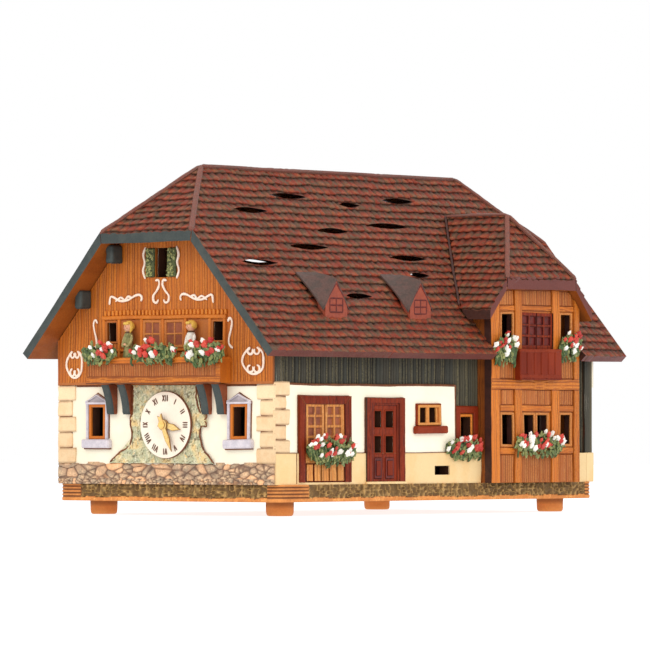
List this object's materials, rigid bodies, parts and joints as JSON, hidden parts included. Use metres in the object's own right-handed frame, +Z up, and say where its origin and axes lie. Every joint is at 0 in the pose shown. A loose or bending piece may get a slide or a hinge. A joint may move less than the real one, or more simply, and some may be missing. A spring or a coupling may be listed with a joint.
{
  "type": "cuckoo clock house tealight holder",
  "caption": "Fired-clay tealight house in the form of a cuckoo-clock chalet: pierced tiled roof, gable clock, balcony and bay; lifts off its footed base plate.",
  "frame": {"origin": "on the ground, below the middle of the walls' rectangle, which is also the middle of the roof's outline", "axes": "+Z up; the gable with the clock faces -Y; +Y along the ridge, away from the clock; the side with the doors and the bay faces +X"},
  "size_m": [0.1444, 0.2474, 0.1525],
  "materials": {
    "terracotta": "bare fired terracotta, dark speckled relief",
    "plaster": "white painted clay",
    "cream_plinth": "pale yellow painted clay",
    "stone_plinth": "mottled stone relief, brown joints",
    "orange_timber": "orange stained clay, combed grooves",
    "dark_timber": "dark slate-green painted clay, combed grooves",
    "roof_tile": "dark red tiles with olive rows, satin glaze",
    "red_wood": "red-brown stained clay",
    "slate": "slate grey painted clay",
    "carving": "mottled green-grey carved relief",
    "dial": "cream painted clay",
    "hands": "yellow painted clay",
    "lilac_frame": "grey-lilac painted clay",
    "painted_shutter": "mottled green and ochre painted clay",
    "figure": "painted clay",
    "flowers": "green leaves, red and white blossoms",
    "tin": "thin drawn cup",
    "wax": "candle wax",
    "wick": "cotton"
  },
  "bodies": {
    "base": {"base_plate": "terracotta", "foot_front_left": "terracotta", "foot_front_right": "terracotta", "foot_rear_left": "terracotta", "foot_rear_right": "terracotta", "tealight_ring": "terracotta"},
    "house": {"front_wall": "plaster", "front_gable_cladding": "orange_timber", "front_plinth": "stone_plinth", "front_window_left": "lilac_frame", "front_window_right": "lilac_frame", "shutter_left": "painted_shutter", "shutter_right": "painted_shutter", "right_wall": "plaster", "right_plinth": "cream_plinth", "right_wall_rear": "dark_timber", "french_window": "orange_timber", "side_door": "red_wood", "side_window": "red_wood", "left_wall": "plaster", "rear_wall": "plaster", "bay_front": "orange_timber", "bay_door": "red_wood", "bay_side_front": "orange_timber", "bay_side_rear": "orange_timber", "bay_roof_front": "roof_tile", "bay_roof_rear": "roof_tile", "bay_half_hip": "roof_tile", "bay_balcony": "red_wood", "roof_right": "roof_tile", "roof_left": "roof_tile", "half_hip_front": "roof_tile", "half_hip_rear": "roof_tile", "dormer_front": "roof_tile", "dormer_rear": "roof_tile", "balcony": "orange_timber", "corbel_1": "slate", "corbel_2": "slate", "corbel_3": "slate", "corbel_4": "slate", "purlin_end_upper": "slate", "purlin_end_lower": "slate", "dial_surround": "carving", "clock_dial": "dial", "dial_pin": "hands", "figure_left": "figure", "figure_right": "figure", "balcony_flowers_left": "flowers", "balcony_flowers_middle": "flowers", "balcony_flowers_right": "flowers", "french_window_flowers": "flowers", "nook_flowers": "flowers", "bay_flowers_lower": "flowers", "bay_flowers_left": "flowers", "bay_flowers_right": "flowers"},
    "tealight": {"tealight_cup": "tin", "tealight_wax": "wax", "tealight_wick": "wick"},
    "minute_hand": {"minute_hand": "hands"},
    "hour_hand": {"hour_hand": "hands"}
  },
  "joints": [
    {"name": "house_lift", "type": "slide", "parent": "base", "child": "house", "axis": [0, 0, 1], "range_m": [0, 0.08]},
    {"name": "tealight_lift", "type": "slide", "parent": "base", "child": "tealight", "axis": [0, 0, 1], "range_m": [0, 0.04]},
    {"name": "minute_turn", "type": "hinge", "parent": "house", "child": "minute_hand", "pos_m": [0.002, -0.1142, 0.039], "axis": [0, 1, 0], "continuous": true},
    {"name": "hour_turn", "type": "hinge", "parent": "house", "child": "hour_hand", "pos_m": [0.002, -0.1142, 0.039], "axis": [0, 1, 0], "continuous": true}
  ],
  "couplings": [
    {"joint": "hour_turn", "follows": "minute_turn", "ratio": 0.083333}
  ]
}
